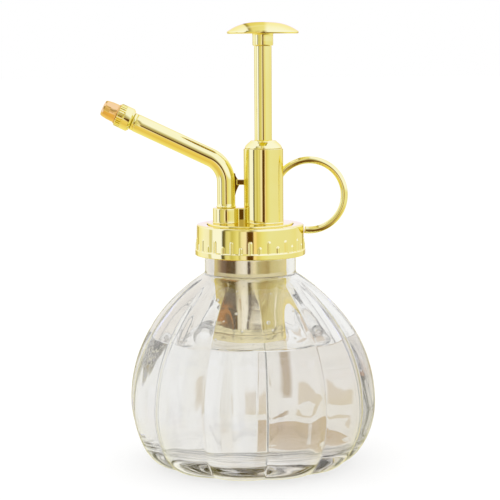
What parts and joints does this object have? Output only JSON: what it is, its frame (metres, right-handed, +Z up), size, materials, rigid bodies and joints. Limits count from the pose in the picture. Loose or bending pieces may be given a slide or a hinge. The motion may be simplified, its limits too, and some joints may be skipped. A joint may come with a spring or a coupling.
{
  "type": "hand mister",
  "caption": "Fluted glass plant mister with a plated piston pump under a mushroom knob, swept spout with a twist nozzle, ribbed screw collar and finger ring.",
  "frame": {"origin": "centre of the bottle's resting foot circle, on the plane it stands on", "axes": "+Z up along the bottle's axis, spout towards -X, finger ring towards +X, +Y to the back of the spout's plane"},
  "size_m": [0.0933, 0.0844, 0.1515],
  "materials": {
    "glass": "clear pressed glass, fire-polished, with small bubbles and a stippled foot",
    "gold_plate": "bright gold plating, mirror smooth with faint drawing lines",
    "gold_deep": "bright gold plating, a little deeper in colour",
    "rubber": "matt black nitrile",
    "steel": "ground and drawn stainless steel",
    "white_plastic": "natural acetal, moulded",
    "clear_plastic": "translucent extruded tube"
  },
  "bodies": {
    "bottle": {"glass_bottle": "glass"},
    "head": {"neck_gasket": "rubber", "pump_head": "gold_plate", "barrel_cap": "gold_plate", "rod_seal": "rubber", "cylinder_liner": "steel", "return_spring": "steel", "inner_housing": "gold_deep", "housing_end_cap": "gold_plate", "valve_body": "white_plastic", "inlet_cage": "white_plastic", "dip_tube": "clear_plastic", "riser_tube": "white_plastic", "outlet_seat": "white_plastic", "outlet_cage": "white_plastic", "spout_tube": "gold_plate", "spout_seal": "rubber", "spout_brace": "gold_plate", "spout_end_fitting": "gold_plate", "swirl_core": "white_plastic", "finger_ring": "gold_plate"},
    "collar": {"screw_collar": "gold_plate"},
    "plunger": {"knob": "gold_plate", "plunger_rod": "gold_plate", "piston": "white_plastic", "piston_seal": "rubber", "piston_nut": "steel"},
    "nozzle_carrier": {"nozzle_gasket": "rubber"},
    "nozzle": {"nozzle_nut": "gold_plate", "nozzle_tip": "gold_deep"},
    "inlet_valve": {"inlet_ball": "steel"},
    "outlet_valve": {"outlet_ball": "steel"}
  },
  "joints": [
    {"name": "head_lift", "type": "slide", "parent": "bottle", "child": "head", "axis": [0, 0, 1], "range_m": [0, 0.00397]},
    {"name": "collar_turn", "type": "hinge", "parent": "head", "child": "collar", "pos_m": [0, 0, 0.0775], "axis": [0, 0, 1], "range_deg": [0, 450]},
    {"name": "plunger_press", "type": "slide", "parent": "head", "child": "plunger", "axis": [0, 0, -1], "range_m": [0, 0.028], "stiffness_N_per_m": 250, "springref_m": -0.012, "deforming": ["return_spring"]},
    {"name": "nozzle_advance", "type": "slide", "parent": "head", "child": "nozzle_carrier", "axis": [-0.9041, 0, 0.4274], "range_m": [0, 0.001]},
    {"name": "nozzle_twist", "type": "hinge", "parent": "nozzle_carrier", "child": "nozzle", "pos_m": [-0.04236, 0, 0.1194], "axis": [-0.9041, 0, 0.4274], "range_deg": [0, 360.5]},
    {"name": "inlet_ball_lift", "type": "slide", "parent": "head", "child": "inlet_valve", "axis": [0, 0, 1], "range_m": [0, 0.0013]},
    {"name": "outlet_ball_lift", "type": "slide", "parent": "head", "child": "outlet_valve", "axis": [0, 0, 1], "range_m": [0, 0.0012]}
  ],
  "couplings": [
    {"joint": "collar_turn", "follows": "head_lift", "rad_per_m": 1979},
    {"joint": "nozzle_twist", "follows": "nozzle_advance", "rad_per_m": 6283.2}
  ]
}
